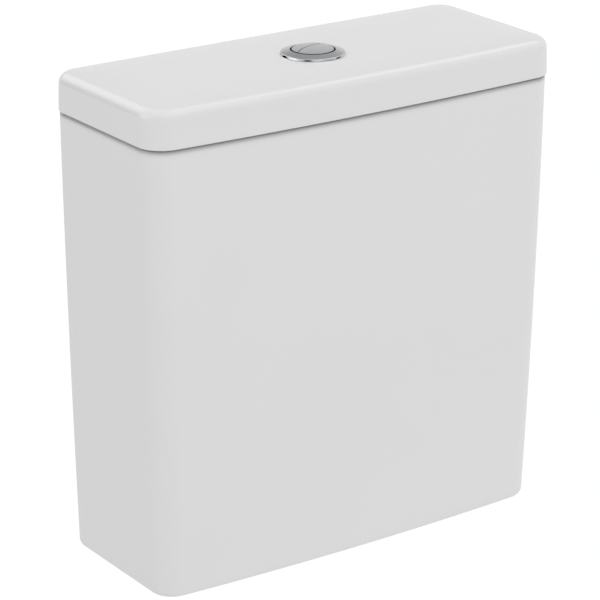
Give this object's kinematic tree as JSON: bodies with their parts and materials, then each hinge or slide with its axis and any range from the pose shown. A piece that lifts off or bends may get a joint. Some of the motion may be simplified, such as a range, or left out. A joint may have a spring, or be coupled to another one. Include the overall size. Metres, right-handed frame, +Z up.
{
  "type": "toilet cistern",
  "caption": "Glazed ceramic close-coupled toilet cistern with a loose lid and a round split push button that works a lever-lifted dual flush valve; bottom-entry float valve.",
  "frame": {"origin": "on the axis of the flush outlet, in the plane on which the tank seats on the pan", "axes": "+Z up, -Y to the front of the cistern, +Y to the wall, +X to the right seen from the front"},
  "size_m": [0.3624, 0.1464, 0.4184],
  "materials": {
    "glaze": "gloss",
    "chrome": "polished",
    "white_plastic": "satin",
    "grey_plastic": "satin",
    "blue_plastic": "satin",
    "black_rubber": "matte",
    "grey_foam": "matte",
    "silicone": "matte",
    "plated_steel": "zinc plated"
  },
  "bodies": {
    "tank": {"cistern_tank": "glaze", "lid_pads": "silicone", "flush_valve_base": "white_plastic", "flush_valve_washer": "black_rubber", "flush_valve_back_nut": "white_plastic", "coupling_seal": "grey_foam", "flush_valve_cage": "white_plastic", "actuator_bridge": "white_plastic", "lever_pins": "plated_steel", "fill_valve_shank": "white_plastic", "fill_valve_washer": "black_rubber", "fill_valve_nut": "white_plastic", "inlet_filter": "grey_plastic", "fill_valve_riser": "white_plastic", "riser_lock_collar": "grey_plastic", "fill_valve_head": "white_plastic", "valve_diaphragm": "black_rubber", "fill_valve_cap": "white_plastic", "float_lever_pin": "plated_steel", "coupling_bolts": "plated_steel", "bolt_seals": "black_rubber", "bolt_washers": "plated_steel", "coupling_nuts": "plated_steel"},
    "lid": {"cistern_lid": "glaze", "button_bezel": "chrome", "button_locknut": "white_plastic", "button_carrier": "white_plastic", "full_flush_spring": "plated_steel", "half_flush_spring": "plated_steel"},
    "full_button": {"full_flush_button": "chrome", "full_flush_pushrod": "white_plastic"},
    "half_button": {"half_flush_button": "chrome", "half_flush_pushrod": "white_plastic"},
    "full_lever": {"full_flush_lever": "blue_plastic"},
    "half_lever": {"half_flush_lever": "blue_plastic"},
    "flush_plug": {"overflow_tube": "white_plastic", "valve_seal": "black_rubber", "seal_retainer": "grey_plastic", "full_flush_float": "blue_plastic", "full_flush_lifter": "blue_plastic"},
    "half_carrier": {"half_flush_lifter": "blue_plastic", "half_flush_float": "grey_plastic"},
    "float": {"float_cup": "blue_plastic", "float_link": "grey_plastic"},
    "float_arm": {"float_lever": "grey_plastic"}
  },
  "joints": [
    {"name": "lid_lift", "type": "slide", "parent": "tank", "child": "lid", "axis": [0, 0, 1], "range_m": [0, 0.15]},
    {"name": "full_press", "type": "slide", "parent": "lid", "child": "full_button", "axis": [0, 0, -1], "range_m": [0, 0.008], "stiffness_N_per_m": 400, "springref_m": -0.008, "deforming": ["full_flush_spring"]},
    {"name": "half_press", "type": "slide", "parent": "lid", "child": "half_button", "axis": [0, 0, -1], "range_m": [0, 0.008], "stiffness_N_per_m": 400, "springref_m": -0.008, "deforming": ["half_flush_spring"]},
    {"name": "full_lever_tip", "type": "hinge", "parent": "tank", "child": "full_lever", "pos_m": [0.03, -0.00649, 0.314], "axis": [0, -1, 0], "range_deg": [0, 17.1]},
    {"name": "half_lever_tip", "type": "hinge", "parent": "tank", "child": "half_lever", "pos_m": [-0.03, 0.00983, 0.314], "axis": [0, 1, 0], "range_deg": [0, 18]},
    {"name": "plug_lift", "type": "slide", "parent": "tank", "child": "flush_plug", "axis": [0, 0, 1], "range_m": [0, 0.0088]},
    {"name": "half_lift", "type": "slide", "parent": "tank", "child": "half_carrier", "axis": [0, 0, 1], "range_m": [0, 0.0093]},
    {"name": "float_rise", "type": "slide", "parent": "tank", "child": "float", "axis": [0, 0, 1], "range_m": [0, 0.01]},
    {"name": "float_lever_tip", "type": "hinge", "parent": "tank", "child": "float_arm", "pos_m": [0.12, 0.018, 0.28], "axis": [0, 1, 0], "range_deg": [0, 23.1]}
  ],
  "couplings": [
    {"joint": "full_lever_tip", "follows": "full_press", "rad_per_m": 37.067},
    {"joint": "plug_lift", "follows": "full_press", "ratio": 1.0958},
    {"joint": "half_lever_tip", "follows": "half_press", "rad_per_m": 39.05},
    {"joint": "half_lift", "follows": "half_press", "ratio": 1.1526},
    {"joint": "float_lever_tip", "follows": "float_rise", "rad_per_m": 40.272}
  ]
}
